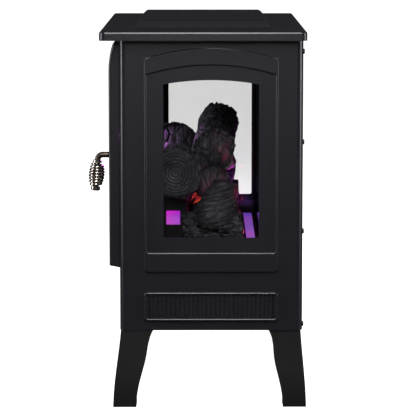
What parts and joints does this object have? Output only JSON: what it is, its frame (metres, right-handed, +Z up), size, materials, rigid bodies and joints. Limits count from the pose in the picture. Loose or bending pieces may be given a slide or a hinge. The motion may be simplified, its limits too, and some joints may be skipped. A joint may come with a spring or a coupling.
{
  "type": "electric fireplace",
  "caption": "Free-standing black electric stove with arched side windows, a log effect, a hinged front door with a coil handle and splayed legs.",
  "frame": {"origin": "on the floor under the middle of the whole object's box", "axes": "+Z up, the door faces -Y, +X to the right of someone who stands behind the stove and looks out past the door"},
  "size_m": [0.61, 0.3377, 0.594],
  "materials": {
    "black_steel": "satin",
    "cast_black": "satin",
    "black_screw": "satin",
    "zinc_steel": "satin",
    "firebox_black": "matte",
    "clear_glass": "gloss",
    "dark_screen": "gloss",
    "seal_rubber": "matte",
    "rope_seal": "matte",
    "charred_log": "matte",
    "ember_resin": "satin",
    "lit_diffuser": "matte",
    "light_board": "matte",
    "bright_aluminium": "gloss",
    "white_ceramic": "matte",
    "black_plastic": "satin",
    "button_plastic": "satin",
    "circuit_board": "satin",
    "dark_rod": "satin",
    "nickel_wire": "gloss"
  },
  "bodies": {
    "root": {"back_plate": "black_steel", "base_pan": "black_steel", "blower_housing": "zinc_steel", "blower_motor": "zinc_steel", "cabinet_screws": "black_screw", "control_panel": "black_plastic", "cord_bush": "black_plastic", "ember_bed": "ember_resin", "end_logs": "charred_log", "firebox_floor": "firebox_black", "firebox_roof": "firebox_black", "flame_reflector": "bright_aluminium", "flame_screen": "dark_screen", "front_legs": "cast_black", "front_plate": "black_steel", "glass_clips": "zinc_steel", "heater_element": "bright_aluminium", "hinge_fixed": "black_steel", "key_board": "circuit_board", "led_strips": "light_board", "leg_bolts": "zinc_steel", "log_back_upper": "charred_log", "log_front_large": "charred_log", "log_middle_upper": "charred_log", "log_rear_lower": "charred_log", "log_stand": "firebox_black", "magnet_catch": "black_plastic", "main_board": "circuit_board", "outlet_duct": "zinc_steel", "outlet_grille": "black_steel", "rear_legs": "cast_black", "rotor_brackets": "zinc_steel", "rotor_motor": "zinc_steel", "screen_channels": "firebox_black", "side_glass_left": "clear_glass", "side_glass_right": "clear_glass", "side_panel_left": "black_steel", "side_panel_right": "black_steel", "side_seals": "seal_rubber", "slot_diffuser": "lit_diffuser", "switch_housing": "black_plastic", "thermal_cutout": "white_ceramic", "top_cap": "black_steel", "tunnel_lenses": "light_board"},
    "door": {"catch_keeper": "zinc_steel", "door_frame": "black_steel", "door_glass": "clear_glass", "door_rope": "rope_seal", "glass_frame": "firebox_black", "hinge_moving": "black_steel"},
    "handle": {"coil_grip": "nickel_wire", "grip_ferrules": "nickel_wire", "handle_shaft": "dark_rod"},
    "flame_rotor": {"flame_rotor": "bright_aluminium"},
    "blower_wheel": {"blower_wheel": "black_plastic"},
    "switch_rocker": {"switch_rocker": "black_plastic"},
    "button_power": {"button_power": "button_plastic"},
    "button_heat": {"button_heat": "button_plastic"},
    "button_flame": {"button_flame": "button_plastic"},
    "button_colour": {"button_colour": "button_plastic"}
  },
  "joints": [
    {"name": "door_swing", "type": "hinge", "parent": "root", "child": "door", "pos_m": [-0.26, -0.1263, 0.39], "axis": [0, 0, -1], "range_deg": [0, 110]},
    {"name": "handle_turn", "type": "hinge", "parent": "door", "child": "handle", "pos_m": [0.225, -0.1361, 0.387], "axis": [0, -1, 0], "range_deg": [0, 90]},
    {"name": "rotor_spin", "type": "hinge", "parent": "root", "child": "flame_rotor", "pos_m": [0, 0.132, 0.266], "axis": [1, 0, 0], "continuous": true},
    {"name": "blower_spin", "type": "hinge", "parent": "root", "child": "blower_wheel", "pos_m": [0, 0.042, 0.16], "axis": [1, 0, 0], "continuous": true},
    {"name": "main_switch", "type": "hinge", "parent": "root", "child": "switch_rocker", "pos_m": [-0.1525, 0.158, 0.15], "axis": [1, 0, 0], "range_deg": [0, 16]},
    {"name": "button_power_press", "type": "slide", "parent": "root", "child": "button_power", "axis": [0, 1, 0], "range_m": [0, 0.0012], "stiffness_N_per_m": 300},
    {"name": "button_heat_press", "type": "slide", "parent": "root", "child": "button_heat", "axis": [0, 1, 0], "range_m": [0, 0.0012], "stiffness_N_per_m": 300},
    {"name": "button_flame_press", "type": "slide", "parent": "root", "child": "button_flame", "axis": [0, 1, 0], "range_m": [0, 0.0012], "stiffness_N_per_m": 300},
    {"name": "button_colour_press", "type": "slide", "parent": "root", "child": "button_colour", "axis": [0, 1, 0], "range_m": [0, 0.0012], "stiffness_N_per_m": 300}
  ]
}
